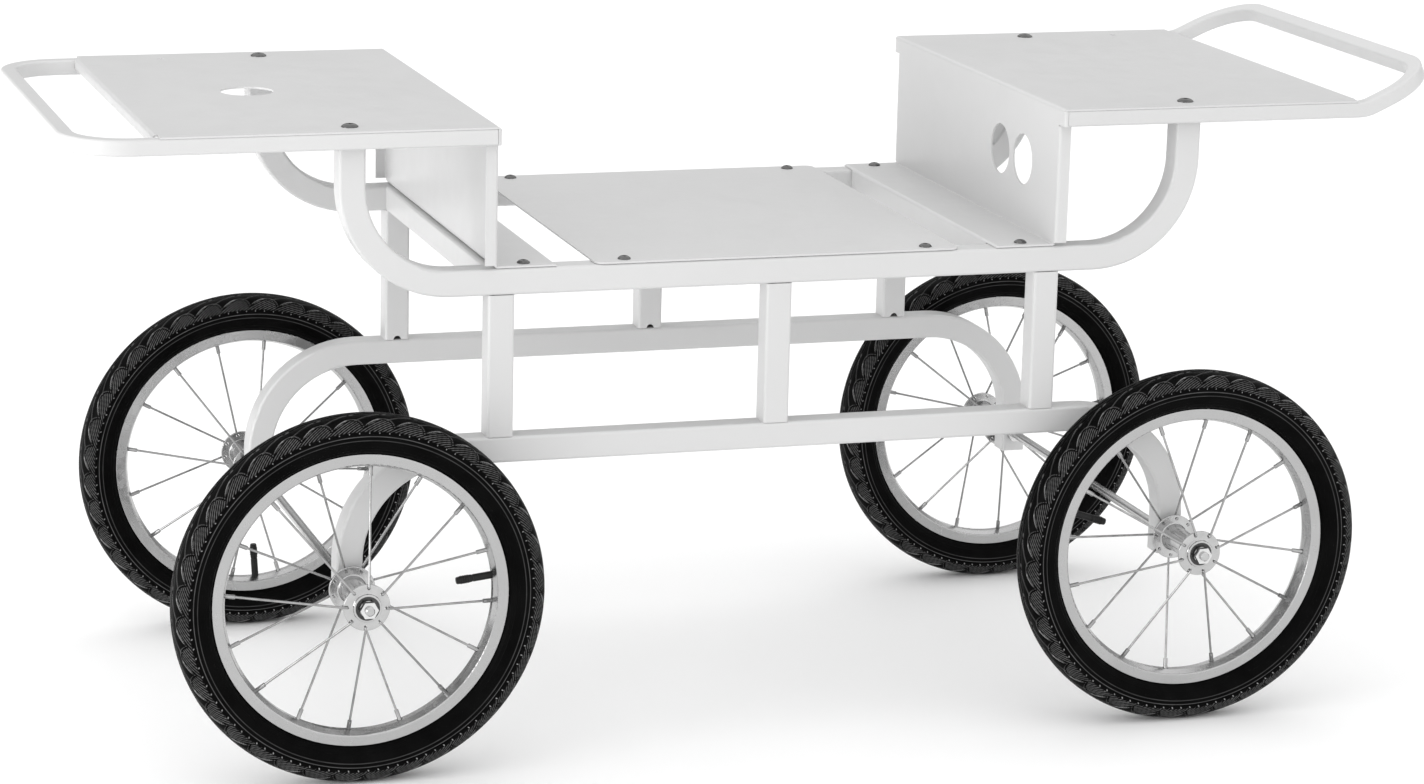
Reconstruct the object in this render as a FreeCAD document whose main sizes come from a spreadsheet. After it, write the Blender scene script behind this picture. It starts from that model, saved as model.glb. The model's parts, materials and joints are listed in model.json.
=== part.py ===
"""Beach cart: a flat-bed camping cart on four spoked wheels.

Origin on the floor under the middle of the cart, +X along the cart, +Y across it, +Z up.
Lengths in millimetres, angles in degrees.
"""
import FreeCAD, Part
import math
import os

import Sketcher
from FreeCAD import Placement, Rotation, Vector

doc = FreeCAD.newDocument("beach_cart")
sheet = doc.addObject("Spreadsheet::Sheet", "Sizes")

SIZES = [
    # square frame tube and its bends
    ("frame_tube", "28.6", "side of the square frame tube"),
    ("frame_wall", "1.5", "wall of the frame tube"),
    ("frame_corner", "3.2", "outside corner radius of the frame tube"),
    ("rail_offset", "236.7", "rail centre line to the cart's middle plane"),
    ("upper_leg_half", "470", "middle of the cart to the upper rail's legs"),
    ("upper_axis_height", "522.3", "centre line of the upper rail"),
    ("upper_bend", "106", "bend of the upper rail, on the centre line"),
    ("lower_axis_height", "339.8", "centre line of the lower rail"),
    ("lower_bend", "116", "bend of the lower rail, on the centre line"),
    ("leg_end_height", "178", "lower end of the wheel legs"),
    ("post_offset", "309", "middle of the cart to the end posts and cross bars"),
    ("notch_radius", "4.5", "half-round vent at the foot of a post"),
    # deck and end sheets
    ("sheet_thick", "2", "sheet metal"),
    ("sheet_bend", "4", "outside bend radius of the sheet"),
    ("foot_bend", "2.8", "outside bend radius at the foot of the panel"),
    ("seat_gap", "0.5", "rim of the rivet nuts, which holds the sheets off the tube"),
    ("deck_half_length", "206", "half the deck plate's length"),
    ("deck_half_width", "250.5", "half the deck plate's width"),
    ("deck_corner", "10", "deck plate corner radius"),
    ("tray_height", "690.5", "top of the end trays"),
    ("tray_outer_left", "678", "middle of the cart to the left tray's outer lip"),
    ("tray_outer_right", "671", "middle of the cart to the right tray's outer lip"),
    ("tray_half_width", "267", "half the tray's width"),
    ("tray_lip", "11.5", "depth of the tray's outer lip"),
    ("tray_lip_half_width", "249.5", "half the width of the outer lip"),
    ("tray_side_gap", "5", "tray's ends over the handle tubes to its outer lip"),
    ("panel_face", "315", "inner face of the upright panel"),
    ("panel_half_width", "255", "half the panel's width below the tabs"),
    ("panel_tab_height", "671.5", "lower edge of the panel's tabs"),
    ("panel_foot_height", "541", "lower edge of the panel's full width"),
    ("foot_half_width", "250", "half the width of the foot flange"),
    ("foot_edge", "248", "inner edge of the foot flange"),
    ("foot_lip_half_width", "220", "half the width of the foot's lip"),
    ("foot_lip_height", "510", "lower edge of the foot's lip"),
    ("edge_bend", "3.5", "outside bend radius of the side flanges and tabs"),
    ("side_flange", "13.5", "depth of the side flanges from the panel's face"),
    ("flange_gap", "1.3", "side flanges to the tabs above them"),
    ("tab_half_width", "268.3", "outer face of the tabs to the middle plane"),
    ("tab_depth", "4", "tab's reach round the end of the handle tube"),
    ("tray_hole_offset", "531", "middle of the cart to the tray hole"),
    ("tray_hole_radius", "29", "cup hole in the left tray"),
    ("panel_hole_radius", "28.25", "holes in the right panel"),
    ("panel_hole_height", "616", "height of the panel holes"),
    ("panel_hole_first", "-151.5", "first panel hole across the cart"),
    ("panel_hole_second", "-83.5", "second panel hole across the cart"),
    ("spare_hole_offset", "583", "middle of the cart to the spare screw hole"),
    ("spare_hole_across", "233", "spare screw hole across the cart"),
    ("spare_hole_radius", "4", "spare screw hole"),
    # handles
    ("handle_tube", "17", "side of the square handle tube"),
    ("handle_wall", "1.5", "wall of the handle tube"),
    ("handle_corner", "2.5", "outside corner radius of the handle tube"),
    ("handle_offset", "259.5", "handle arms to the middle plane"),
    ("handle_start", "319.4", "inner ends of the handle arms"),
    ("handle_reach", "759.5", "middle of the cart to the flat handle's grip"),
    ("handle_bend", "61.5", "handle corner bend, on the centre line"),
    ("kick_start", "668", "where the raised handle starts to rise"),
    ("kick_angle", "24.5", "rise of the raised handle in degrees"),
    ("kick_bend", "45", "radius of the rise, on the centre line"),
    ("kick_reach", "91.5", "slanted reach of the raised handle to its grip"),
    # screws
    ("deck_screw_offset", "171", "middle of the cart to the deck screws"),
    ("foot_screw_offset", "282", "middle of the cart to the foot screws"),
    ("screw_across", "236", "screws to the middle plane"),
    ("screw_radius", "2.95", "screw shank"),
    ("screw_length", "16", "screw shank length"),
    ("small_head", "7", "head radius of the deck screws"),
    ("large_head", "9", "head radius of the tray screws"),
    ("head_height", "3.3", "height of the screw heads"),
    ("screw_clearance", "3.3", "screw hole in the sheet"),
    ("insert_radius", "4.5", "rivet nut barrel"),
    ("insert_length", "14", "rivet nut length"),
    ("plug_length", "12", "threaded plug in the top of a leg"),
    # axles
    ("axle_half_base", "472", "middle of the cart to the axles"),
    ("axle_height", "200", "axle height above the floor"),
    ("axle_radius", "5", "axle rod"),
    ("axle_half_length", "350", "half the axle rod's length"),
    ("nut_flats", "17", "axle nut across flats"),
    ("nut_height", "6.5", "axle nut height"),
    ("washer_radius", "9", "axle washer"),
    ("washer_thick", "2", "axle washer thickness"),
    ("spacer_radius", "7", "axle spacer"),
    ("wheel_gap", "0.3", "side play between the hub and its neighbours"),
    # wheels
    ("wheel_offset", "297", "wheel centre plane to the middle plane"),
    ("tyre_radius", "200", "outside radius of the tyre"),
    ("tyre_half_width", "23.5", "half the tyre's width"),
    ("tyre_wall", "4", "tyre casing"),
    ("bead_foot", "149.5", "inner radius of the tyre beads"),
    ("bead_outer", "10.8", "outer face of the beads to the wheel's middle"),
    ("bead_inner", "6.5", "inner face of the beads to the wheel's middle"),
    ("tube_ring", "179.7", "centre circle of the inner tube"),
    ("tube_section", "15.8", "section radius of the inner tube"),
    ("tube_wall", "1.5", "wall of the inner tube"),
    ("rim_edge", "159.2", "radius of the rim's edge"),
    ("rim_shoulder", "147.4", "radius of the rim's shoulder"),
    ("rim_bed", "144", "radius of the rim's inside"),
    ("rim_half_width", "13", "half the rim's width"),
    ("rim_wall", "2", "rim metal"),
    ("hub_half_length", "40", "half the hub's length"),
    ("hub_radius", "13.5", "hub barrel"),
    ("hub_cup", "15", "hub end cup"),
    ("hub_bore", "9", "bore between the bearings"),
    ("flange_radius", "25", "hub flange"),
    ("flange_middle", "35", "flange to the hub's middle"),
    ("flange_thick", "3.2", "flange thickness"),
    ("spoke_circle", "21", "spoke holes in the flange"),
    ("spoke_rise", "1.4", "gap between the flange and the elbow of a spoke"),
    ("spoke_radius", "1.25", "spoke wire"),
    ("spoke_elbow", "1.7", "elbow bend of a spoke, on the centre line"),
    ("spoke_hole", "2", "spoke hole in the flange"),
    ("spoke_end", "146", "outer end of a spoke"),
    ("spoke_lean", "-0.3", "outer end of a spoke to the wheel's middle"),
    ("nipple_radius", "2.3", "nipple barrel"),
    ("nipple_head", "3.3", "nipple head"),
    ("nipple_start", "133.5", "inner end of the nipples"),
    ("nipple_length", "14.6", "nipple from its inner end to its head"),
    ("nipple_hole", "2.9", "nipple hole in the rim"),
    ("bearing_radius", "13", "ball bearing outside"),
    ("bearing_bore", "5.05", "ball bearing bore"),
    ("bearing_width", "8", "ball bearing width"),
    ("valve_tip", "105", "tip of the valve cap"),
    ("valve_radius", "4", "valve stem"),
    ("valve_hole", "4.4", "valve hole in the rim"),
    ("cut_depth", "900", "length of a cut that goes right through"),
]
for row, (alias, amount, note) in enumerate(SIZES, start=1):
    sheet.set("A%d" % row, amount)
    sheet.setAlias("A%d" % row, alias)
    sheet.set("B%d" % row, note)
doc.recompute()

NODES = []
SPOKES = 16
WHEELS = [
    # name, end of the cart, side of the cart, angle of the valve above +X
    ("near_left", -1, -1, 6.6),
    ("near_right", 1, -1, 162.0),
    ("far_left", -1, 1, -86.7),
    ("far_right", 1, 1, 62.0),
]


def size(name):
    return float(sheet.get(name))


def term(text):
    """Sheet expression with its cell names in full."""
    words = []
    for word in text.split():
        words.append("Sizes." + word if word[0].isalpha() else word)
    return " ".join(words)


def value(text):
    return float(FreeCAD.Units.Quantity(sheet.evalExpression(term(text))))


def keep(obj, label):
    obj.Label = label
    NODES.append(obj)
    return obj


def new_body(name):
    return doc.addObject("PartDesign::Body", name)


def new_sketch(body, name, plane, height="0"):
    """Sketch on one of the body's origin planes, moved along its normal."""
    sketch = body.newObject("Sketcher::SketchObject", name)
    support = [item for item in body.Origin.OriginFeatures if item.Role == plane][0]
    sketch.AttachmentSupport = [(support, "")]
    sketch.MapMode = "FlatFace"
    sketch.setExpression("AttachmentOffset.Base.z", term(height))
    return sketch


def bind_point(sketch, geometry, end, x, y):
    for kind, text in (("DistanceX", x), ("DistanceY", y)):
        index = sketch.addConstraint(Sketcher.Constraint(kind, -1, 1, geometry, end, value(text)))
        sketch.setExpression("Constraints[%d]" % index, term(text))


def draw_circle(sketch, x, y, radius):
    circle = Part.Circle(Vector(value(x), value(y), 0), Vector(0, 0, 1), value(radius))
    geometry = sketch.addGeometry(circle)
    bind_point(sketch, geometry, 3, x, y)
    index = sketch.addConstraint(Sketcher.Constraint("Radius", geometry, value(radius)))
    sketch.setExpression("Constraints[%d]" % index, term(radius))


def draw_outline(sketch, corners, closed=True):
    """Lines through the corners, each (x, y) or (x, y, radius) in sheet terms."""
    count = len(corners)
    points = [Vector(value(corner[0]), value(corner[1]), 0) for corner in corners]
    entries = []
    exits = []
    arcs = {}
    for i, corner in enumerate(corners):
        entry = points[i]
        leave = points[i]
        if len(corner) > 2:
            back = (points[i - 1] - points[i]).normalize()
            ahead = (points[(i + 1) % count] - points[i]).normalize()
            half = back.getAngle(ahead) / 2
            radius = value(corner[2])
            entry = points[i] + back * (radius / math.tan(half))
            leave = points[i] + ahead * (radius / math.tan(half))
            centre = points[i] + (back + ahead).normalize() * (radius / math.sin(half))
            arcs[i] = (centre, radius, back.cross(ahead).z < 0)
        entries.append(entry)
        exits.append(leave)
    spans = count if closed else count - 1
    lines = []
    for i in range(spans):
        lines.append(sketch.addGeometry(Part.LineSegment(exits[i], entries[(i + 1) % count])))
    for i, corner in enumerate(corners):
        before = lines[i - 1] if (closed or i > 0) else None
        after = lines[i] if i < spans else None
        if i not in arcs:
            if before is not None and after is not None:
                sketch.addConstraint(Sketcher.Constraint("Coincident", before, 2, after, 1))
            first = (after, 1) if after is not None else (before, 2)
            bind_point(sketch, first[0], first[1], corner[0], corner[1])
            continue
        centre, radius, forward = arcs[i]
        ends = [entries[i], exits[i]]
        if not forward:
            ends.reverse()
        angles = [math.atan2((end - centre).y, (end - centre).x) for end in ends]
        if angles[1] < angles[0]:
            angles[1] += 2 * math.pi
        circle = Part.Circle(centre, Vector(0, 0, 1), radius)
        arc = sketch.addGeometry(Part.ArcOfCircle(circle, angles[0], angles[1]))
        mark = sketch.addGeometry(Part.Point(points[i]), True)
        start, stop = (1, 2) if forward else (2, 1)
        sketch.addConstraint(Sketcher.Constraint("Tangent", before, 2, arc, start))
        sketch.addConstraint(Sketcher.Constraint("Tangent", after, 1, arc, stop))
        sketch.addConstraint(Sketcher.Constraint("PointOnObject", mark, 1, before))
        sketch.addConstraint(Sketcher.Constraint("PointOnObject", mark, 1, after))
        bind_point(sketch, mark, 1, corner[0], corner[1])
        index = sketch.addConstraint(Sketcher.Constraint("Radius", arc, radius))
        sketch.setExpression("Constraints[%d]" % index, term(corner[2]))


def draw_box(sketch, left, right, low, high, radius=None):
    corners = [(left, low), (right, low), (right, high), (left, high)]
    if radius:
        corners = [corner + (radius,) for corner in corners]
    draw_outline(sketch, corners)


def draw_tube(sketch, tube, wall, corner, x="0", y="0"):
    """Hollow square section with rounded corners round the point x, y."""
    side = "%s / 2" % tube
    draw_box(sketch, "%s - %s" % (x, side), "%s + %s" % (x, side),
             "%s - %s" % (y, side), "%s + %s" % (y, side), corner)
    draw_box(sketch, "%s - %s + %s" % (x, side, wall), "%s + %s - %s" % (x, side, wall),
             "%s - %s + %s" % (y, side, wall), "%s + %s - %s" % (y, side, wall),
             "%s - %s" % (corner, wall))


def pad(body, sketch, length, reverse=False, both=False):
    feature = body.newObject("PartDesign::Pad", sketch.Name + "_pad")
    feature.Profile = sketch
    feature.SideType = "Symmetric" if both else "One side"
    feature.Reversed = reverse
    feature.setExpression("Length", term(length))
    doc.recompute()
    return feature


def cut(body, sketch, length="cut_depth"):
    """Pocket to both sides of its sketch; the volume must fall."""
    before = body.Shape.Volume
    feature = body.newObject("PartDesign::Pocket", sketch.Name + "_cut")
    feature.Profile = sketch
    feature.SideType = "Symmetric"
    feature.setExpression("Length", term(length))
    doc.recompute()
    if body.Shape.Volume >= before:
        raise ValueError(sketch.Name + " removes nothing")
    return feature


def turn(body, corners, holes=()):
    """Revolve an outline of (radius, along) corners round the body's Y axis."""
    sketch = new_sketch(body, body.Name + "_profile", "XY_Plane")
    draw_outline(sketch, corners)
    for hole in holes:
        draw_circle(sketch, *hole)
    feature = body.newObject("PartDesign::Revolution", body.Name + "_turn")
    feature.Profile = sketch
    feature.ReferenceAxis = (sketch, ["V_Axis"])
    feature.Angle = 360
    doc.recompute()
    return feature


def sweep(body, section, path):
    feature = body.newObject("PartDesign::AdditivePipe", body.Name + "_sweep")
    feature.Profile = section
    feature.Spine = path
    doc.recompute()
    return feature


def place(obj, x="0", y="0", z="0", rotation=None):
    if rotation:
        obj.Placement = Placement(Vector(), rotation)
    for axis, text in (("x", x), ("y", y), ("z", z)):
        obj.setExpression("Placement.Base." + axis, term(text))


def group(label, master, placements):
    """Identical pieces in one node, each a solid of its own."""
    node = doc.addObject("Part::Feature", label)
    copies = []
    for placement in placements:
        copy = master.Shape.copy()
        copy.Placement = placement.multiply(master.Placement)
        copies.append(copy)
    node.Shape = Part.Compound(copies)
    return keep(node, label)


# Rails: one bent tube above and one below, on each side of the cart.
def rail(label, across, leg, axis_height, leg_end, bend):
    body = new_body(label)
    path = new_sketch(body, label + "_path", "XZ_Plane")
    draw_outline(path, [("- " + leg, leg_end), ("- " + leg, axis_height, bend),
                        (leg, axis_height, bend), (leg, leg_end)], closed=False)
    section = new_sketch(body, label + "_section", "XY_Plane", leg_end)
    draw_tube(section, "frame_tube", "frame_wall", "frame_corner", "0 - " + leg)
    sweep(body, section, path)
    place(body, y=across)
    return body


SIDES = [("near", "- "), ("far", "")]
ENDS = [("left", "- "), ("right", "")]
for side, sign in SIDES:
    body = rail("upper_rail_" + side, sign + "rail_offset", "upper_leg_half",
                "upper_axis_height", "tray_height - sheet_thick", "upper_bend")
    holes = new_sketch(body, body.Name + "_insert_holes", "XY_Plane",
                       "upper_axis_height + frame_tube / 2")
    for offset in ("deck_screw_offset", "foot_screw_offset"):
        for end in ("- ", ""):
            draw_circle(holes, end + offset, sign + "screw_across - ( " + sign + "rail_offset )",
                        "insert_radius + 0.05")
    cut(body, holes, "frame_wall * 4")
    keep(body, "upper_rail_" + side)

    body = rail("lower_rail_" + side, sign + "rail_offset", "axle_half_base",
                "lower_axis_height", "leg_end_height", "lower_bend")
    holes = new_sketch(body, body.Name + "_axle_holes", "XZ_Plane")
    for end in ("- ", ""):
        draw_circle(holes, end + "axle_half_base", "axle_height", "axle_radius + 0.05")
    cut(body, holes, "frame_tube * 2")
    keep(body, "lower_rail_" + side)

# Posts between the rails, each with a half-round vent at the foot of its inner face.
for side, sign in SIDES:
    for end, offset in (("left", "- post_offset"), ("mid", "0"), ("right", "post_offset")):
        body = new_body("post_%s_%s" % (side, end))
        section = new_sketch(body, body.Name + "_section", "XY_Plane",
                             "lower_axis_height + frame_tube / 2")
        draw_tube(section, "frame_tube", "frame_wall", "frame_corner")
        pad(body, section, "upper_axis_height - lower_axis_height - frame_tube")
        facing = "" if sign == "" else "- "
        vent = new_sketch(body, body.Name + "_vent", "XZ_Plane", facing + "frame_tube / 2")
        draw_circle(vent, "0", "lower_axis_height + frame_tube / 2", "notch_radius")
        cut(body, vent, "frame_wall * 4")
        place(body, x=offset, y=sign + "rail_offset")
        keep(body, body.Name)

for end, sign in ENDS:
    body = new_body("crossbar_" + end)
    section = new_sketch(body, body.Name + "_section", "XZ_Plane")
    draw_tube(section, "frame_tube", "frame_wall", "frame_corner", "0", "upper_axis_height")
    pad(body, section, "2 * ( rail_offset - frame_tube / 2 )", both=True)
    place(body, x=sign + "post_offset")
    keep(body, body.Name)

# Deck plate.
body = new_body("deck_plate")
seat = "upper_axis_height + frame_tube / 2 + seat_gap"
outline = new_sketch(body, "deck_outline", "XY_Plane", seat)
draw_box(outline, "- deck_half_length", "deck_half_length", "- deck_half_width",
         "deck_half_width", "deck_corner")
for sx in ("- ", ""):
    for sy in ("- ", ""):
        draw_circle(outline, sx + "deck_screw_offset", sy + "screw_across", "screw_clearance")
pad(body, outline, "sheet_thick")
keep(body, "deck_plate")


# End sheets: tray, upright panel and foot flange bent from one sheet.
def bent_edge(body, name, out, wide, half_width, depth, low, high):
    """Upright edge of the panel bent back through a right angle."""
    root = half_width + " - edge_bend - 1"
    edge = new_sketch(body, name, "XY_Plane", low)
    draw_outline(edge, [
        (out("panel_face"), wide(root)),
        (out("panel_face"), wide(half_width), "edge_bend"),
        (out("panel_face + " + depth), wide(half_width)),
        (out("panel_face + " + depth), wide(half_width + " - sheet_thick")),
        (out("panel_face + sheet_thick"), wide(half_width + " - sheet_thick"),
         "edge_bend - sheet_thick"),
        (out("panel_face + sheet_thick"), wide(root)),
    ])
    pad(body, edge, "%s - ( %s )" % (high, low))


def end_sheet(end, sign):
    body = new_body("end_sheet_" + end)
    outer = "tray_outer_" + end
    under = "tray_height - sheet_thick"
    profile = new_sketch(body, body.Name + "_profile", "XZ_Plane")
    inside = "sheet_bend - sheet_thick"

    def out(text):
        return "%s( %s )" % (sign, text)

    draw_outline(profile, [
        (out(outer), "tray_height - tray_lip"),
        (out(outer), "tray_height", "sheet_bend"),
        (out("panel_face"), "tray_height", "sheet_bend"),
        (out("panel_face"), seat + " + sheet_thick", "foot_bend - sheet_thick"),
        (out("foot_edge"), seat + " + sheet_thick", "sheet_bend"),
        (out("foot_edge"), "foot_lip_height"),
        (out("foot_edge + sheet_thick"), "foot_lip_height"),
        (out("foot_edge + sheet_thick"), seat, inside),
        (out("panel_face + sheet_thick"), seat, "foot_bend"),
        (out("panel_face + sheet_thick"), under, inside),
        (out(outer + " - sheet_thick"), under, inside),
        (out(outer + " - sheet_thick"), "tray_height - tray_lip"),
    ])
    pad(body, profile, "2 * tray_half_width", both=True)

    for side, across in SIDES:
        def wide(text):
            return "%s( %s )" % (across, text)
        trim = new_sketch(body, "%s_trim_%s" % (body.Name, side), "YZ_Plane", out("panel_face"))
        draw_outline(trim, [
            (wide("tray_half_width + 5"), "foot_lip_height - 5"),
            (wide("tray_half_width + 5"), "tray_height - sheet_bend"),
            (wide("tab_half_width - edge_bend"), "tray_height - sheet_bend"),
            (wide("tab_half_width - edge_bend"), "panel_tab_height"),
            (wide("panel_half_width - edge_bend"), "panel_tab_height"),
            (wide("panel_half_width - edge_bend"), "panel_foot_height"),
            (wide("foot_half_width"), "panel_foot_height"),
            (wide("foot_half_width"), seat),
            (wide("foot_lip_half_width"), seat),
            (wide("foot_lip_half_width"), "foot_lip_height - 5"),
        ])
        cut(body, trim, "300")
        corner = new_sketch(body, "%s_corner_%s" % (body.Name, side), "XY_Plane", "tray_height")
        draw_outline(corner, [
            (out(outer + " - tray_side_gap"), wide("tray_lip_half_width")),
            (out(outer + " - tray_side_gap"), wide("tray_half_width + 5")),
            (out(outer + " + 5"), wide("tray_half_width + 5")),
            (out(outer + " + 5"), wide("tray_lip_half_width")),
        ])
        cut(body, corner, "60")
        bent_edge(body, "%s_flange_%s" % (body.Name, side), out, wide, "panel_half_width",
                  "side_flange", "panel_foot_height", "panel_tab_height - flange_gap")
        bent_edge(body, "%s_tab_%s" % (body.Name, side), out, wide, "tab_half_width",
                  "tab_depth", "panel_tab_height", "tray_height - sheet_thick - 0.3")

    screws = new_sketch(body, body.Name + "_screw_holes", "XY_Plane", "tray_height")
    for across in ("- ", ""):
        draw_circle(screws, out("upper_leg_half"), across + "rail_offset", "screw_clearance")
        draw_circle(screws, out("foot_screw_offset"), across + "screw_across", "screw_clearance")
    draw_circle(screws, out("spare_hole_offset"), "spare_hole_across", "spare_hole_radius")
    cut(body, screws, "2 * ( tray_height - upper_axis_height )")
    if end == "left":
        hole = new_sketch(body, "tray_hole", "XY_Plane", "tray_height")
        draw_circle(hole, out("tray_hole_offset"), "0", "tray_hole_radius")
        cut(body, hole, "20")
    else:
        hole = new_sketch(body, "panel_holes", "YZ_Plane", "panel_face")
        draw_circle(hole, "panel_hole_first", "panel_hole_height", "panel_hole_radius")
        draw_circle(hole, "panel_hole_second", "panel_hole_height", "panel_hole_radius")
        cut(body, hole, "20")
    keep(body, body.Name)


for end, sign in ENDS:
    end_sheet(end, sign)

# Flat handle at the left end.
handle_height = "tray_height - sheet_thick - handle_tube / 2"
body = new_body("handle_frame_left")
path = new_sketch(body, "flat_handle_path", "XY_Plane", handle_height)
draw_outline(path, [
    ("- handle_start", "- handle_offset"),
    ("- handle_reach", "- handle_offset", "handle_bend"),
    ("- handle_reach", "handle_offset", "handle_bend"),
    ("- handle_start", "handle_offset"),
], closed=False)
section = new_sketch(body, "flat_handle_section", "YZ_Plane", "- handle_start")
draw_tube(section, "handle_tube", "handle_wall", "handle_corner", "0 - handle_offset",
          handle_height)
sweep(body, section, path)
keep(body, "handle_frame_left")


# Raised handle at the right end: bent in two planes, so its path is a wire in space.
def raised_handle(shrink):
    """Solid swept along the handle, its section smaller by shrink on every side."""
    rise = math.radians(size("kick_angle"))
    bend = size("kick_bend")
    corner = size("handle_bend")
    half = size("handle_offset")
    height = value(handle_height)
    slope = Vector(math.cos(rise), 0, math.sin(rise))
    knee = Vector(size("kick_start") + bend * math.tan(rise / 2), 0, height)
    setback = bend * math.tan(rise / 2)
    start = Vector(size("handle_start"), -half, height)
    low = knee + Vector(-setback, -half, 0)
    high = knee + slope * setback + Vector(0, -half, 0)
    middle = knee + Vector(-setback, -half, 0)
    middle += Vector(bend * math.sin(rise / 2), 0, bend * (1 - math.cos(rise / 2)))
    turn_in = knee + slope * (size("kick_reach") - corner) + Vector(0, -half, 0)
    turn_mid = turn_in + slope * (corner * math.sin(math.pi / 4))
    turn_mid += Vector(0, corner * (1 - math.cos(math.pi / 4)), 0)
    turn_out = knee + slope * size("kick_reach") + Vector(0, corner - half, 0)

    def over(point):
        return Vector(point.x, -point.y, point.z)

    edges = [
        Part.LineSegment(start, low),
        Part.Arc(low, middle, high),
        Part.LineSegment(high, turn_in),
        Part.Arc(turn_in, turn_mid, turn_out),
        Part.LineSegment(turn_out, over(turn_out)),
        Part.Arc(over(turn_out), over(turn_mid), over(turn_in)),
        Part.LineSegment(over(turn_in), over(high)),
        Part.Arc(over(high), over(middle), over(low)),
        Part.LineSegment(over(low), over(start)),
    ]
    wire = Part.Wire([edge.toShape() for edge in edges])
    side = size("handle_tube") - 2 * shrink
    block = Part.makeBox(10, side, side, start + Vector(0, -side / 2, -side / 2))
    along = [edge for edge in block.Edges if abs(edge.tangentAt(0).x) > 0.9]
    rounded = block.makeFillet(size("handle_corner") - shrink, along)
    end_face = min(rounded.Faces, key=lambda face: face.CenterOfMass.x)
    return wire.makePipeShell([end_face.OuterWire], True, False)


node = doc.addObject("Part::Feature", "handle_frame_right")
node.Shape = raised_handle(0).cut(raised_handle(size("handle_wall")))
keep(node, "handle_frame_right")


# Screws with a cross recess, the rivet nuts under them and the plugs in the legs.
def screw(name, head):
    body = new_body(name)
    turn(body, [
        ("0", "- screw_length"),
        ("screw_radius", "- screw_length"),
        ("screw_radius", "0"),
        (head, "0"),
        (head, "head_height * 0.3", "head_height * 0.2"),
        (head + " * 0.62", "head_height", head + " * 0.5"),
        ("0", "head_height"),
    ])
    for slot, half_x, half_y in (("slot", "0.7", "3.1"), ("bar", "3.1", "0.7")):
        recess = new_sketch(body, "%s_%s" % (name, slot), "XZ_Plane", "- head_height")
        draw_box(recess, "- " + half_x, half_x, "- " + half_y, half_y)
        cut(body, recess, "3.6")
    return body


UPRIGHT = Rotation(Vector(1, 0, 0), 90)


def spots(offsets, across, height):
    """Placements of pieces that stand upright at both ends and sides."""
    result = []
    for offset in offsets:
        for sx in (-1, 1):
            for sy in (-1, 1):
                point = Vector(sx * value(offset), sy * value(across), value(height))
                result.append(Placement(point, UPRIGHT))
    return result


bed = "upper_axis_height + frame_tube / 2"
deck_screw = screw("deck_screw", "small_head")
tray_screw = screw("tray_screw", "large_head")
bed_spots = ("deck_screw_offset", "foot_screw_offset")
group("deck_screws", deck_screw, spots(bed_spots, "screw_across", seat + " + sheet_thick"))
group("tray_screws", tray_screw, spots(("upper_leg_half",), "rail_offset", "tray_height"))

insert = new_body("rivet_nut")
turn(insert, [
    ("screw_radius + 0.05", "- insert_length"),
    ("insert_radius", "- insert_length"),
    ("insert_radius", "- frame_wall - 3"),
    ("insert_radius + 1.3", "- frame_wall - 2.3"),
    ("insert_radius + 1.3", "- frame_wall - 0.5"),
    ("insert_radius", "- frame_wall"),
    ("insert_radius", "0"),
    ("insert_radius + 1.8", "0"),
    ("insert_radius + 1.8", "seat_gap"),
    ("screw_radius + 0.05", "seat_gap"),
])
group("rivet_nuts", insert, spots(bed_spots, "screw_across", bed))

plug = new_body("leg_plug")
section = new_sketch(plug, "leg_plug_section", "XZ_Plane")
plug_side = "frame_tube / 2 - frame_wall - 0.05"
draw_box(section, "- ( %s )" % plug_side, plug_side, "- ( %s )" % plug_side, plug_side,
         "frame_corner - frame_wall")
draw_circle(section, "0", "0", "screw_radius + 0.35")
pad(plug, section, "plug_length")
group("leg_plugs", plug, spots(("upper_leg_half",), "rail_offset", "tray_height - sheet_thick"))

# Axles with their nuts, washers and spacers.
for end, sign in ENDS:
    body = new_body("axle_" + end)
    turn(body, [
        ("0", "- axle_half_length"),
        ("axle_radius - 1", "- axle_half_length"),
        ("axle_radius", "1 - axle_half_length"),
        ("axle_radius", "axle_half_length - 1"),
        ("axle_radius - 1", "axle_half_length"),
        ("0", "axle_half_length"),
    ])
    place(body, x=sign + "axle_half_base", z="axle_height")
    keep(body, body.Name)


def axle_spots(distance):
    """Placements on both axles and sides, each looking out from the middle plane."""
    result = []
    for sx in (-1, 1):
        for sy in (-1, 1):
            facing = Rotation() if sy > 0 else Rotation(Vector(0, 0, 1), 180)
            point = Vector(sx * size("axle_half_base"), sy * value(distance), size("axle_height"))
            result.append(Placement(point, facing))
    return result


nut = new_body("axle_nut")
section = new_sketch(nut, "axle_nut_section", "XZ_Plane")
across_corners = "nut_flats / 2 * 1.1547005"
half_corner = "nut_flats / 4 * 1.1547005"
draw_outline(section, [
    (across_corners, "0"),
    (half_corner, "nut_flats / 2"),
    ("- " + half_corner, "nut_flats / 2"),
    ("- " + across_corners, "0"),
    ("- " + half_corner, "- nut_flats / 2"),
    (half_corner, "- nut_flats / 2"),
])
draw_circle(section, "0", "0", "axle_radius + 0.05")
pad(nut, section, "nut_height", reverse=True)

washer = new_body("axle_washer")
turn(washer, [
    ("axle_radius + 0.05", "0"),
    ("washer_radius", "0"),
    ("washer_radius", "washer_thick"),
    ("axle_radius + 0.05", "washer_thick"),
])

leg_inner = "rail_offset - frame_tube / 2"
leg_outer = "rail_offset + frame_tube / 2"
hub_outer = "wheel_offset + hub_half_length + wheel_gap"
group("axle_outer_nuts", nut, axle_spots(hub_outer + " + washer_thick"))
group("axle_inner_nuts", nut, axle_spots(leg_inner + " - washer_thick - nut_height"))
washers = axle_spots(hub_outer) + axle_spots(leg_inner + " - washer_thick")
group("axle_washers", washer, washers + axle_spots(leg_outer))

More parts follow.
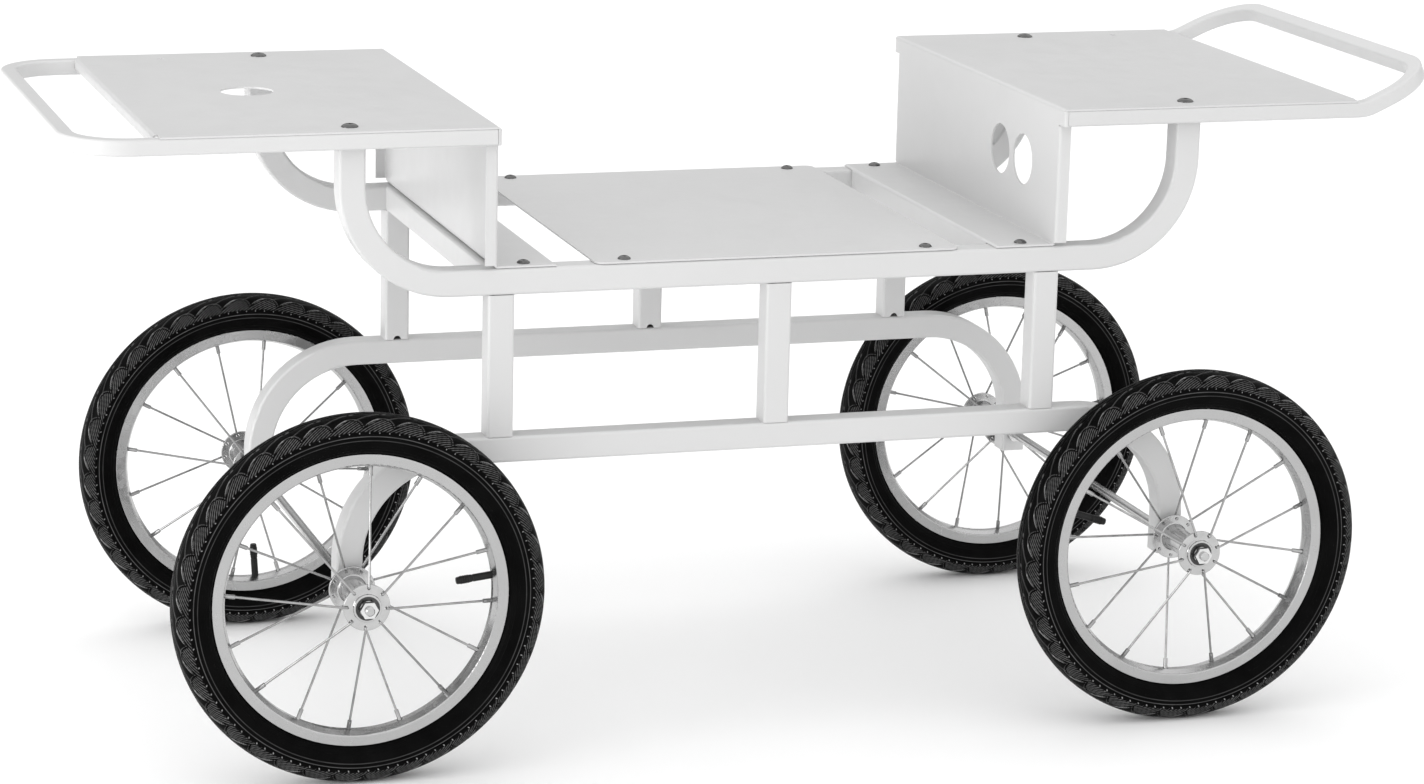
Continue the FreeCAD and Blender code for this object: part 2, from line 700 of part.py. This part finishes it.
spacer = new_body("axle_spacer")
spacer_length = "wheel_offset - hub_half_length - wheel_gap - washer_thick - ( %s )" % leg_outer
turn(spacer, [
    ("axle_radius + 0.05", "0"),
    ("spacer_radius", "0"),
    ("spacer_radius", spacer_length),
    ("axle_radius + 0.05", spacer_length),
])
group("axle_spacers", spacer, axle_spots(leg_outer + " + washer_thick"))


# Wheels. Each piece is drawn round the body's Y axis with its valve on +X.
def mirrored(corners):
    """Close a half outline of (radius, along) corners with its mirror image."""
    back = []
    for corner in reversed(corners):
        back.append((corner[0], "- ( %s )" % corner[1]) + tuple(corner[2:]))
    return list(corners) + back


def tyre(name):
    body = new_body(name)
    inner_half = "tyre_half_width - tyre_wall"
    outer = [
        ("tyre_radius", "tyre_half_width", "tyre_half_width - 4"),
        ("rim_edge + 4.3", "tyre_half_width", "14"),
        ("rim_edge + 0.6", "rim_half_width + 0.4"),
        ("rim_edge + 0.6", "bead_outer"),
        ("bead_foot", "bead_outer"),
        ("bead_foot", "bead_inner"),
        ("rim_edge + 4.3", "bead_inner"),
        ("rim_edge + 6.3", inner_half, "11"),
        ("tyre_radius - tyre_wall", inner_half, "tyre_half_width - tyre_wall - 2.5"),
    ]
    turn(body, mirrored(outer))
    return body


def inner_tube(name):
    """Inflated ring with a wall, swept as two circles round the wheel."""
    body = new_body(name)
    sketch = new_sketch(body, name + "_profile", "XY_Plane")
    draw_circle(sketch, "tube_ring", "0", "tube_section")
    draw_circle(sketch, "tube_ring", "0", "tube_section - tube_wall")
    feature = body.newObject("PartDesign::Revolution", name + "_turn")
    feature.Profile = sketch
    feature.ReferenceAxis = (sketch, ["V_Axis"])
    feature.Angle = 360
    doc.recompute()
    return body


def pattern(body, feature, sketch, count, axis="V_Axis"):
    copies = body.newObject("PartDesign::PolarPattern", feature.Name + "_ring")
    copies.Originals = [feature]
    copies.Axis = (sketch, [axis])
    copies.Angle = 360
    copies.Occurrences = count
    body.Tip = copies
    doc.recompute()
    return copies


def rim(name):
    """Single-wall rim with a valve hole on +X and the nipple holes between."""
    body = new_body(name)
    profile = turn(body, mirrored([
        ("rim_bed", "4"),
        ("rim_shoulder", "rim_half_width", "1.6"),
        ("rim_edge", "rim_half_width", "0.9"),
        ("rim_edge", "rim_half_width - rim_wall", "0.9"),
        ("rim_shoulder + rim_wall * 0.9", "rim_half_width - rim_wall"),
        ("rim_bed + rim_wall", "3.6"),
    ])).Profile[0]
    hole = new_sketch(body, name + "_valve_hole", "YZ_Plane", "rim_bed")
    draw_circle(hole, "0", "0", "valve_hole")
    cut(body, hole, "12")
    step = 360.0 / SPOKES / 2
    swing = Rotation(Vector(1, 0, 0), -step)
    hole = new_sketch(body, name + "_nipple_hole", "YZ_Plane")
    hole.setExpression("AttachmentOffset.Base.z", None)
    hole.AttachmentOffset = Placement(swing.multVec(Vector(0, 0, size("rim_bed"))), swing)
    draw_circle(hole, "0", "0", "nipple_hole")
    pattern(body, cut(body, hole, "12"), profile, SPOKES)
    return body


def hub(name):
    body = new_body(name)
    web = "flange_middle + flange_thick / 2"
    back = "flange_middle - flange_thick / 2"
    seat = "hub_half_length - bearing_width"
    half = [
        ("hub_bore", seat),
        ("bearing_radius", seat),
        ("bearing_radius", "hub_half_length"),
        ("hub_cup", "hub_half_length", "0.6"),
        ("hub_cup", web, "1"),
        ("flange_radius", web, "0.8"),
        ("flange_radius", back, "0.8"),
        ("hub_radius + 1.5", back, "2"),
        ("hub_radius", "flange_middle - 7"),
    ]
    profile = turn(body, mirrored(half)).Profile[0]
    for face, sign, start in (("outer", "", 0), ("inner", "- ", 1)):
        hole = new_sketch(body, "%s_%s_hole" % (name, face), "XZ_Plane",
                          "- ( %sflange_middle )" % sign)
        angle = math.radians(360.0 / SPOKES * (start + 0.5))
        draw_circle(hole, "spoke_circle * %.6f" % math.cos(angle),
                    "spoke_circle * %.6f" % math.sin(angle), "spoke_hole")
        pattern(body, cut(body, hole, "flange_thick * 3"), profile, SPOKES // 2)
    return body


def bearing(name):
    """Sealed ball bearing at the outer end of the hub."""
    body = new_body(name)
    inner = "hub_half_length - bearing_width"
    turn(body, [
        ("bearing_bore", inner),
        ("bearing_radius", inner),
        ("bearing_radius", "hub_half_length"),
        ("bearing_radius - 1.8", "hub_half_length"),
        ("bearing_radius - 1.8", "hub_half_length - 0.6"),
        ("bearing_bore + 1.8", "hub_half_length - 0.6"),
        ("bearing_bore + 1.8", "hub_half_length"),
        ("bearing_bore", "hub_half_length"),
    ])
    return body


def spoke(name):
    """Elbowed spoke from the outer flange on +X to its nipple."""
    body = new_body(name)
    path = new_sketch(body, name + "_path", "XY_Plane")
    web = "flange_middle + flange_thick / 2"
    draw_outline(path, [
        ("spoke_circle", "flange_middle - flange_thick / 2 - 0.6"),
        ("spoke_circle", web + " + spoke_radius + spoke_rise", "spoke_elbow"),
        ("spoke_end", "spoke_lean"),
    ], closed=False)
    section = new_sketch(body, name + "_section", "XZ_Plane",
                         "0 - flange_middle + flange_thick / 2 + 0.6")
    draw_circle(section, "spoke_circle", "0", "spoke_radius")
    sweep(body, section, path)
    return body


def nipple(name):
    """Nipple drawn along the body's Y axis, its head outermost."""
    body = new_body(name)
    turn(body, [
        ("spoke_radius + 0.05", "0"),
        ("nipple_radius", "0", "0.4"),
        ("nipple_radius", "nipple_length"),
        ("nipple_head", "nipple_length"),
        ("nipple_head", "nipple_length + 1.8", "0.8"),
        ("spoke_radius + 0.05", "nipple_length + 1.8"),
    ])
    return body


def valve(name):
    """Rubber stem with a ribbed cap, from the tube to the tip, along the body's Y axis."""
    body = new_body(name)
    base = "tube_ring - tube_section"
    cap = 17.0
    corners = [("0", "valve_tip"), ("valve_radius * 0.9", "valve_tip", "1")]
    corners.append(("valve_radius * 1.02", "valve_tip + 4"))
    for groove in range(4):
        at = 5.0 + groove * 2.4
        corners.append(("valve_radius * 1.12", "valve_tip + %.1f" % at))
        corners.append(("valve_radius * 1.12", "valve_tip + %.1f" % (at + 1.2)))
        corners.append(("valve_radius * 1.02", "valve_tip + %.1f" % (at + 1.4)))
        corners.append(("valve_radius * 1.02", "valve_tip + %.1f" % (at + 2.2)))
    corners.append(("valve_radius * 1.02", "valve_tip + %.1f" % cap))
    corners.append(("valve_radius * 0.86", "valve_tip + %.1f" % cap))
    corners.append(("valve_radius * 0.86", "valve_tip + %.1f" % (cap + 1.5)))
    corners.append(("valve_radius", "valve_tip + %.1f" % (cap + 1.5)))
    corners.append(("valve_radius", "%s - 1.6" % base))
    corners.append(("valve_radius * 1.6", "%s - 1.6" % base))
    corners.append(("valve_radius * 1.6", base + " - 0.3"))
    corners.append(("0", base + " - 0.3"))
    turn(body, corners)
    return body


bearing_master = bearing("bearing")
spoke_master = spoke("spoke")
nipple_master = nipple("nipple")
valve_master = valve("valve")
FLIP = Placement(Vector(), Rotation(Vector(1, 0, 0), 180))

elbow_height = value("flange_middle + flange_thick / 2 + spoke_radius + spoke_rise")
lean_start = Vector(size("spoke_circle"), elbow_height, 0)
lean_end = Vector(size("spoke_end"), size("spoke_lean"), 0)
lean = (lean_end - lean_start).normalize()
nipple_foot = lean_start + lean * ((size("nipple_start") - lean_start.x) / lean.x)
nipple_seat = Placement(nipple_foot, Rotation(Vector(0, 1, 0), lean))

for name, end, side, angle in WHEELS:
    centre = Vector(end * size("axle_half_base"), side * size("wheel_offset"), size("axle_height"))
    wheel = Placement(centre, Rotation(Vector(0, -1, 0), angle))
    x = "%d * axle_half_base" % end
    y = "%d * wheel_offset" % side
    for maker, part in ((tyre, "tyre"), (inner_tube, "inner_tube"), (rim, "rim"), (hub, "hub")):
        body = maker("%s_%s" % (part, name))
        place(body, x, y, "axle_height", wheel.Rotation)
        keep(body, body.Name)
    turns = []
    for k in range(SPOKES):
        turned = Placement(Vector(), Rotation(Vector(0, -1, 0), 360.0 / SPOKES * (k + 0.5)))
        turns.append(wheel.multiply(turned).multiply(FLIP) if k % 2 else wheel.multiply(turned))
    group("spokes_" + name, spoke_master, turns)
    group("nipples_" + name, nipple_master, [item.multiply(nipple_seat) for item in turns])
    group("bearings_" + name, bearing_master, [wheel, wheel.multiply(FLIP)])
    lay = Placement(Vector(), Rotation(Vector(0, 0, 1), -90))
    group("valve_" + name, valve_master, [wheel.multiply(lay)])

doc.recompute()
os.makedirs("parts", exist_ok=True)
for obj in doc.Objects:
    if "Invalid" in obj.State or "Error" in obj.State:
        raise RuntimeError("%s: %s" % (obj.Name, obj.State))
for node in NODES:
    if node.Shape.isNull() or not node.Shape.isValid():
        raise RuntimeError(node.Label + " has no valid shape")
    node.Shape.exportStep("parts/%s.step" % node.Label)
print(len(NODES), "nodes written")
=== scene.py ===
"""Looks of the beach cart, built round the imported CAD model. Metres, +X along the cart, +Z up."""

import json
import math

import bmesh
import bpy
import numpy as np
from mathutils import Matrix, Vector

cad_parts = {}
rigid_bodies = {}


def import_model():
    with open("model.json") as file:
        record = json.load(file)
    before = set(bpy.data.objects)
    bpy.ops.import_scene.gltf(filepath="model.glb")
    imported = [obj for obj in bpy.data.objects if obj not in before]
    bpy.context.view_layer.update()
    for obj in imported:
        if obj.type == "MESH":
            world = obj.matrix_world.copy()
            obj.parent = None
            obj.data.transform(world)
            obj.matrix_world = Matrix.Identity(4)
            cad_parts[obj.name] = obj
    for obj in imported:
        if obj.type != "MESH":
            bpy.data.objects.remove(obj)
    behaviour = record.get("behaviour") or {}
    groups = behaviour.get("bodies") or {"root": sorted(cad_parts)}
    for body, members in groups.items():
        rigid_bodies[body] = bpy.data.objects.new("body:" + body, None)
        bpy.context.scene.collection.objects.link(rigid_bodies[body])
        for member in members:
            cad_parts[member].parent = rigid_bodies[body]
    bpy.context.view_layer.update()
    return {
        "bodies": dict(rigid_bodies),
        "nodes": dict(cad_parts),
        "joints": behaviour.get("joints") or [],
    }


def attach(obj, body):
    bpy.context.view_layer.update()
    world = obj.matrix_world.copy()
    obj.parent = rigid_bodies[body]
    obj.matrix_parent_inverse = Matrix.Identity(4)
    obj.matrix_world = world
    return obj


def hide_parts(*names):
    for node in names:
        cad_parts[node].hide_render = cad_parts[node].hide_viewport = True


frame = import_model()
nodes = frame["nodes"]
joints = {joint["child"]: joint for joint in frame["joints"]}
wheels = [body for body in frame["bodies"] if body.startswith("wheel_")]
MM = 0.001


# ---------------------------------------------------------------- materials
class Graph:
    """Node tree of a new material, with short calls for the nodes that the looks share."""

    def __init__(self, name):
        self.material = bpy.data.materials.new(name)
        self.material.use_nodes = True
        self.tree = self.material.node_tree
        self.shader = self.tree.nodes["Principled BSDF"]
        self.coords = self.tree.nodes.new("ShaderNodeTexCoord").outputs["Object"]

    def node(self, kind, **settings):
        node = self.tree.nodes.new(kind)
        for key, setting in settings.items():
            setattr(node, key, setting)
        return node

    def link(self, start, end):
        self.tree.links.new(start, end)

    def set(self, **values):
        for key, setting in values.items():
            self.shader.inputs[key.replace("_", " ")].default_value = setting

    def noise(self, scale, detail=4.0, rough=0.5):
        texture = self.node("ShaderNodeTexNoise")
        texture.inputs["Scale"].default_value = scale
        texture.inputs["Detail"].default_value = detail
        texture.inputs["Roughness"].default_value = rough
        self.link(self.coords, texture.inputs["Vector"])
        return texture.outputs["Fac"]

    def voronoi(self, scale):
        texture = self.node("ShaderNodeTexVoronoi")
        texture.inputs["Scale"].default_value = scale
        self.link(self.coords, texture.inputs["Vector"])
        return texture.outputs["Distance"]

    def spread(self, source, low, high, start=0.3, stop=0.7):
        """Source between start and stop, mapped to the range low to high."""
        node = self.node("ShaderNodeMapRange")
        limits = {"From Min": start, "From Max": stop, "To Min": low, "To Max": high}
        for key, setting in limits.items():
            node.inputs[key].default_value = setting
        self.link(source, node.inputs["Value"])
        return node.outputs["Result"]

    def math(self, operation, first, second):
        node = self.node("ShaderNodeMath", operation=operation)
        for socket, source in zip(node.inputs, (first, second)):
            if isinstance(source, (int, float)):
                socket.default_value = source
            else:
                self.link(source, socket)
        return node.outputs[0]

    def ramp(self, source, stops):
        node = self.node("ShaderNodeValToRGB")
        ramp = node.color_ramp
        while len(ramp.elements) < len(stops):
            ramp.elements.new(0.5)
        for element, (place, colour) in zip(ramp.elements, stops):
            element.position = place
            element.color = (*colour, 1)
        self.link(source, node.inputs["Fac"])
        return node.outputs["Color"]

    def bump(self, height, strength, distance, base=None):
        node = self.node("ShaderNodeBump")
        node.inputs["Strength"].default_value = strength
        node.inputs["Distance"].default_value = distance
        self.link(height, node.inputs["Height"])
        if base:
            self.link(base, node.inputs["Normal"])
        return node.outputs["Normal"]

    def use(self, **sources):
        for key, source in sources.items():
            self.link(source, self.shader.inputs[key.replace("_", " ")])


def grey(level):
    return (level, level, level)


def powder_coat():
    """White powder coat with a slight orange peel."""
    graph = Graph("powder_coat")
    broad = graph.noise(3.5, 3)
    graph.use(Base_Color=graph.ramp(broad, [(0.3, grey(0.575)), (0.7, grey(0.595))]))
    fine = graph.noise(900, 2)
    graph.use(Roughness=graph.spread(graph.noise(40, 4), 0.30, 0.38))
    peel = graph.bump(graph.noise(420, 2), 0.05, 0.0003)
    graph.use(Normal=graph.bump(fine, 0.08, 0.0002, peel))
    graph.set(Metallic=0.0, Specular_IOR_Level=0.35, Coat_Weight=0.05, Coat_Roughness=0.22)
    return graph.material


def zinc(name, level, rough, scale, mottle=0.04):
    """Plated or bare metal: its grey level, roughness, and the scale and depth of its clouding."""
    graph = Graph(name)
    cloud = graph.noise(scale, 5, 0.6)
    stops = [(0.3, grey(level - mottle)), (0.7, grey(level + mottle))]
    graph.use(Base_Color=graph.ramp(cloud, stops))
    graph.use(Roughness=graph.spread(graph.noise(scale * 4, 3), rough - 0.05, rough + 0.08))
    graph.use(Normal=graph.bump(graph.noise(1500, 3), 0.12, 0.0002))
    graph.set(Metallic=1.0)
    return graph.material


def chrome():
    """Bright wire of the spokes and nipples."""
    graph = Graph("chrome")
    cloud = graph.noise(90, 4)
    graph.use(Base_Color=graph.ramp(cloud, [(0.3, grey(0.28)), (0.7, grey(0.40))]))
    graph.use(Roughness=graph.spread(graph.noise(350, 3), 0.08, 0.16))
    graph.use(Normal=graph.bump(graph.noise(700, 2), 0.06, 0.0002))
    graph.set(Metallic=1.0)
    return graph.material


def rubber(name, level, low, high):
    """Plain rubber of a grey level, with roughness from low to high."""
    graph = Graph(name)
    cloud = graph.noise(35, 5, 0.6)
    graph.use(Base_Color=graph.ramp(cloud, [(0.3, grey(level * 0.8)), (0.7, grey(level * 1.3))]))
    graph.use(Roughness=graph.spread(graph.noise(120, 4), low, high))
    grain = graph.bump(graph.noise(2600, 3), 0.22, 0.00025)
    graph.use(Normal=graph.bump(graph.voronoi(700), 0.10, 0.0002, grain))
    graph.set(Metallic=0.0, Specular_IOR_Level=0.25)
    return graph.material


def tread_rubber():
    """Black rubber with painted highlights: lighter along the raised edges stored in the mesh,
    which are also glossier.
    """
    graph = Graph("tyre_rubber")
    # painted highlights: the glint mask lifts the black rubber to grey along the raised edges, and
    # also lowers roughness and raises specular there
    painted_glint = graph.node("ShaderNodeAttribute", attribute_name="painted_glint").outputs["Fac"]
    cloud = graph.noise(35, 5, 0.6)
    dark = graph.spread(cloud, 0.001, 0.003)
    light = graph.spread(graph.noise(60, 4), 0.30, 0.55)
    shade = graph.math("ADD", dark, graph.math("MULTIPLY", painted_glint, light))
    graph.use(Base_Color=graph.ramp(shade, [(0.0, grey(0.0)), (1.0, grey(1.0))]))
    smooth_wall = graph.spread(graph.noise(120, 4), 0.34, 0.46)
    graph.use(Roughness=graph.math("SUBTRACT", smooth_wall, graph.math("MULTIPLY", painted_glint, 0.12)))
    grain = graph.bump(graph.noise(2600, 3), 0.22, 0.00025)
    graph.use(Normal=graph.bump(graph.voronoi(700), 0.10, 0.0002, grain))
    polish = graph.math("MULTIPLY", painted_glint, 0.5)
    graph.use(Specular_IOR_Level=graph.math("ADD", polish, 0.03))
    graph.set(Metallic=0.0)
    return graph.material


paint = powder_coat()
rim_metal = zinc("zinc_rim", 0.43, 0.22, 25, 0.015)
hub_metal = zinc("zinc_hub", 0.48, 0.15, 90)
nut_metal = zinc("zinc_nut", 0.66, 0.14, 90, 0.03)
# near-black bearings: painted shade of the hub's bearing recess, a dark ring round the nut
recess_shade_metal = zinc("bearing_painted_shade", 0.07, 0.24, 90, 0.02)
screw_metal = zinc("zinc_screw", 0.13, 0.14, 150, 0.03)
spoke_metal = chrome()
tyre_rubber = tread_rubber()
valve_rubber = rubber("valve_rubber", 0.006, 0.38, 0.50)
tube_rubber = rubber("tube_rubber", 0.012, 0.55, 0.7)

LOOKS = [
    (("upper_rail", "lower_rail", "post", "crossbar", "handle", "end_sheet", "deck_plate"), paint),
    (("rim",), rim_metal),
    (("spokes", "nipples"), spoke_metal),
    (("hub", "axle_left", "axle_right", "axle_washers", "axle_spacers"), hub_metal),
    (("axle_outer_nuts", "axle_inner_nuts"), nut_metal),
    (("bearings",), recess_shade_metal),
    (("tyre",), tyre_rubber),
    (("inner_tube",), tube_rubber),
    (("valve",), valve_rubber),
    (("deck_screws", "tray_screws", "rivet_nuts", "leg_plugs"), screw_metal),
]
for name, obj in nodes.items():
    for starts, material in LOOKS:
        if name.startswith(starts):
            obj.data.materials.clear()
            obj.data.materials.append(material)


# ---------------------------------------------------------------- tyres
def smooth(value):
    """Ease from 0 to 1 as the value goes from 0 to 1."""
    value = np.clip(value, 0, 1)
    return value * value * (3 - 2 * value)


def groove(distance, width):
    """1 on the groove's line, falling smoothly to 0 at half its width."""
    return smooth(1.6 - 1.6 * np.abs(distance) / (width / 2))


def tread(turn, across):
    """Depth in millimetres under the tyre's envelope, and the mask of painted glints on its raised
    edges.

    The pattern repeats for every whole turn; across is the angle round the section in degrees.
    The two sides of the tyre are half a repeat apart.
    """
    side = np.abs(across)
    phase = turn + 0.5 * (across > 0)
    cell = phase - np.floor(phase)
    lean = cell - 0.10 * (side - 56) / 20
    lean = lean - np.floor(lean)

    # round-topped pads near the shoulder, with fins inside and a groove round them
    arch = 34 + 30 * np.abs(2 * lean - 1) ** 2.2
    inside = smooth((side - arch - 3) / 2) * smooth((75 - side) / 3)
    fin = np.mod(lean * 7.0 - side / 9.5, 1.0)
    depth = 1.1 * inside * smooth(np.abs(fin - 0.5) * 5 - 0.7)
    depth = np.maximum(depth, 2.0 * groove(side - arch, 4.6))

    # crescent grooves between the pads and the wavy groove at the crown
    crescent = 9 + 30 * smooth(np.mod(lean + 0.5, 1.0)) ** 1.5
    on_crown = smooth((40 - side) / 6)
    depth = np.maximum(depth, 1.6 * groove(side - crescent, 3.4) * on_crown)
    centre = 5 + 2.2 * np.sin(2 * np.pi * cell)
    depth = np.maximum(depth, 1.2 * groove(side - centre, 2.6))

    # notches along the shoulder, three to a cell
    thirds = np.mod(lean * 3 + 0.5, 1.0) - 0.5
    notch = groove(thirds, 0.34) * smooth((side - 70) / 2) * smooth((82 - side) / 2)
    depth = np.maximum(depth, 1.8 * notch)

    # the plain side wall lies 1.5 mm lower, with raised lines round it
    on_tread = smooth((79.5 - side) / 2.5)
    depth = depth * on_tread + 1.5 * (1 - on_tread)
    depth = depth - 0.9 * (groove(side - 86, 3.0) + groove(side - 92, 2.4))
    depth = depth + 0.5 * smooth((side - 96) / 8)
    depth = depth - 0.5 * groove(side - 118, 2.6) - 0.35 * groove(side - 131, 3)

    # painted glints, which also raise the gloss: one flank of each pad, its whole rim faintly,
    # fins, crescents, notches, lines
    pad_rim = side - arch + 3.4
    flank = smooth((lean - 0.55) / 0.15) * smooth((0.97 - lean) / 0.05)
    painted_glint = 0.9 * groove(pad_rim, 2.6) * flank
    painted_glint = np.maximum(painted_glint, 0.18 * groove(pad_rim, 2.4))
    painted_glint = np.maximum(painted_glint, 0.34 * inside * smooth(1.4 - np.abs(fin - 0.5) * 8))
    painted_glint = np.maximum(painted_glint, 0.25 * groove(side - crescent + 2.6, 2.0) * on_crown)
    painted_glint = np.maximum(painted_glint, 0.8 * groove(thirds - 0.17, 0.12) * groove(side - 77.5, 4))
    painted_glint = np.maximum(painted_glint, 0.22 * groove(side - 86, 2.2) + 0.12 * groove(side - 92, 1.8))
    return np.maximum(depth, 0), np.clip(painted_glint, 0, 1)


TREAD_CELLS = 36
ROWS_PER_CELL = 36
SECTION_CENTRE = 177.5  # radius in the wheel of the middle of the tyre's section
SECTION_RADIUS = 22.45
SECTION_HALF_WIDTH = 23.4
SECTION_POWER = 2 / 2.5  # 1 would give an ellipse, less gives a squarer section
BEAD = [(159.7, 10.6), (151.0, 10.6), (150.0, 7.0), (163.0, 6.8)]  # radius and side of its corners


def tyre_section(turn, across):
    """Radius, side and painted glint mask of the tyre's outside."""
    depth, painted_glint = tread(turn, across)
    angle = np.radians(across)
    cosine = np.cos(angle)
    sine = np.sin(angle)
    out = np.sign(cosine) * np.abs(cosine) ** SECTION_POWER
    aside = np.sign(sine) * np.abs(sine) ** SECTION_POWER
    radius = SECTION_CENTRE + SECTION_RADIUS * out - depth * cosine
    return radius, SECTION_HALF_WIDTH * aside - depth * sine, painted_glint


def tyre_mesh():
    """Open tyre casing round the Y axis, closed through its beads, in one mesh for every wheel."""
    rows = TREAD_CELLS * ROWS_PER_CELL
    crown = np.linspace(-82, 82, 141)
    wall = np.linspace(83.2, 140.0, 44)
    across = np.concatenate([-wall[::-1], crown, wall])
    turns = np.arange(rows) * TREAD_CELLS / rows
    r, y, painted_glint = tyre_section(*np.meshgrid(turns, across, indexing="ij"))

    # the beads close the section under the rim's edge
    foot = np.array(BEAD)
    foot_r = np.concatenate([foot[:, 0], foot[::-1, 0]])
    foot_y = np.concatenate([foot[:, 1], -foot[::-1, 1]])
    r = np.concatenate([r, np.tile(foot_r, (rows, 1))], axis=1)
    y = np.concatenate([y, np.tile(foot_y, (rows, 1))], axis=1)
    painted_glint = np.concatenate([painted_glint, np.zeros((rows, len(foot_r)))], axis=1)

    swing = 2 * np.pi * np.arange(rows)[:, None] / rows
    co = np.stack([r * np.cos(swing), y, r * np.sin(swing)], axis=-1).reshape(-1, 3) * MM
    ring = r.shape[1]
    row = np.arange(rows)[:, None]
    next_row = (row + 1) % rows
    step = np.arange(ring)[None, :]
    next_step = (step + 1) % ring
    corners = [
        row * ring + step,
        row * ring + next_step,
        next_row * ring + next_step,
        next_row * ring + step,
    ]
    faces = np.stack(corners, axis=-1).reshape(-1, 4)

    mesh = bpy.data.meshes.new("tyre")
    mesh.vertices.add(len(co))
    mesh.vertices.foreach_set("co", co.ravel())
    mesh.loops.add(faces.size)
    mesh.loops.foreach_set("vertex_index", faces.ravel())
    mesh.polygons.add(len(faces))
    mesh.polygons.foreach_set("loop_start", np.arange(0, faces.size, 4))
    mesh.polygons.foreach_set("loop_total", np.full(len(faces), 4))
    mesh.polygons.foreach_set("use_smooth", np.ones(len(faces), bool))
    mesh.update(calc_edges=True)
    mesh.validate()
    # store the painted glint mask for the tyre's material
    glint_attribute = mesh.attributes.new("painted_glint", "FLOAT", "POINT")
    glint_attribute.data.foreach_set("value", painted_glint.ravel().astype(np.float32))
    mesh.materials.append(tyre_rubber)
    return mesh


shared_tyre = tyre_mesh()
for body in wheels:
    name = body[len("wheel_"):]
    tyre = bpy.data.objects.new("tyre_tread_" + name, shared_tyre)
    bpy.context.scene.collection.objects.link(tyre)
    tyre.matrix_world = Matrix.Translation(joints[body]["pos_m"])
    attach(tyre, body)
    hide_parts("tyre_" + name)


# ---------------------------------------------------------------- floor, light, camera
def floor_mesh():
    mesh = bpy.data.meshes.new("floor")
    bm = bmesh.new()
    bmesh.ops.create_grid(bm, x_segments=8, y_segments=8, size=30)
    bm.to_mesh(mesh)
    bm.free()
    return mesh


floor = bpy.data.objects.new("floor", floor_mesh())
bpy.context.scene.collection.objects.link(floor)
pale = Graph("floor_pale")
pale.use(Base_Color=pale.ramp(pale.noise(1.2, 3), [(0.3, grey(0.955)), (0.7, grey(0.975))]))
pale.use(Roughness=pale.spread(pale.noise(6, 3), 0.75, 0.85))
floor.data.materials.append(pale.material)

bpy.context.scene.view_settings.view_transform = "Standard"
world = bpy.data.worlds.new("studio")
bpy.context.scene.world = world
world.use_nodes = True
background = world.node_tree.nodes["Background"]
background.inputs["Strength"].default_value = 1.26


def sky_node(kind, source):
    """Node of the studio's surroundings, fed by the source."""
    node = world.node_tree.nodes.new(kind)
    world.node_tree.links.new(source, node.inputs[0])
    return node


def fade(source, start, stop):
    """0 where the source is at start, 1 where it is at stop."""
    node = sky_node("ShaderNodeMapRange", source)
    node.inputs["From Min"].default_value = start
    node.inputs["From Max"].default_value = stop
    return node.outputs[0]


# the surroundings darken low down behind the cart, so bright metal keeps its contrast
coords = world.node_tree.nodes.new("ShaderNodeTexCoord")
split = sky_node("ShaderNodeSeparateXYZ", coords.outputs["Generated"])
both = sky_node("ShaderNodeMath", fade(split.outputs["Y"], -0.15, 0.35))
both.operation = "MULTIPLY"
world.node_tree.links.new(fade(split.outputs["Z"], 0.55, 0.20), both.inputs[1])
shade = sky_node("ShaderNodeValToRGB", both.outputs[0])
shade.color_ramp.elements[0].color = (*grey(1.0), 1)
shade.color_ramp.elements[1].color = (*grey(0.30), 1)
world.node_tree.links.new(shade.outputs["Color"], background.inputs["Color"])


AIM = (0, 0, 0.5)


def soft_box(name, place, width, height, power):
    """Rectangular studio light that faces the middle of the cart."""
    light = bpy.data.lights.new(name, "AREA")
    light.shape = "RECTANGLE"
    light.size = width
    light.size_y = height
    light.energy = power
    obj = bpy.data.objects.new(name, light)
    bpy.context.scene.collection.objects.link(obj)
    obj.location = place
    obj.rotation_euler = (Vector(AIM) - Vector(place)).to_track_quat("-Z", "Y").to_euler()


soft_box("light_front", (0.6, -4.4, 0.9), 3.0, 1.2, 4)
soft_box("light_left", (-3.4, -0.8, 0.75), 2.4, 1.2, 46)

# the camera's frame, focal length and optical centre are in picture units
FRAME_WIDTH, FRAME_HEIGHT = 1424, 784
FOCAL = 4083.364
CENTRE_X, CENTRE_Y = 679.198, 427.966
SENSOR_WIDTH = 36.0
EYE = (-1.39052, -4.318718, 1.424463)
YAW, PITCH, ROLL = 0.305, 0.246, 0.023

camera = bpy.data.cameras.new("camera")
camera.sensor_fit = "HORIZONTAL"
camera.sensor_width = SENSOR_WIDTH
camera.lens = FOCAL * SENSOR_WIDTH / FRAME_WIDTH
camera.shift_x = (FRAME_WIDTH / 2 - CENTRE_X) / FRAME_WIDTH
camera.shift_y = (CENTRE_Y - FRAME_HEIGHT / 2) / FRAME_WIDTH
camera.clip_end = 200
view = Vector((
    math.sin(YAW) * math.cos(PITCH),
    math.cos(YAW) * math.cos(PITCH),
    -math.sin(PITCH),
))
level = Vector((math.cos(YAW), -math.sin(YAW), 0))
upright = level.cross(view)
right = math.cos(ROLL) * level + math.sin(ROLL) * upright
up = -math.sin(ROLL) * level + math.cos(ROLL) * upright
eye = bpy.data.objects.new("camera", camera)
bpy.context.scene.collection.objects.link(eye)
eye.matrix_world = Matrix((
    (right.x, up.x, -view.x, EYE[0]),
    (right.y, up.y, -view.y, EYE[1]),
    (right.z, up.z, -view.z, EYE[2]),
    (0, 0, 0, 1),
))
bpy.context.scene.camera = eye
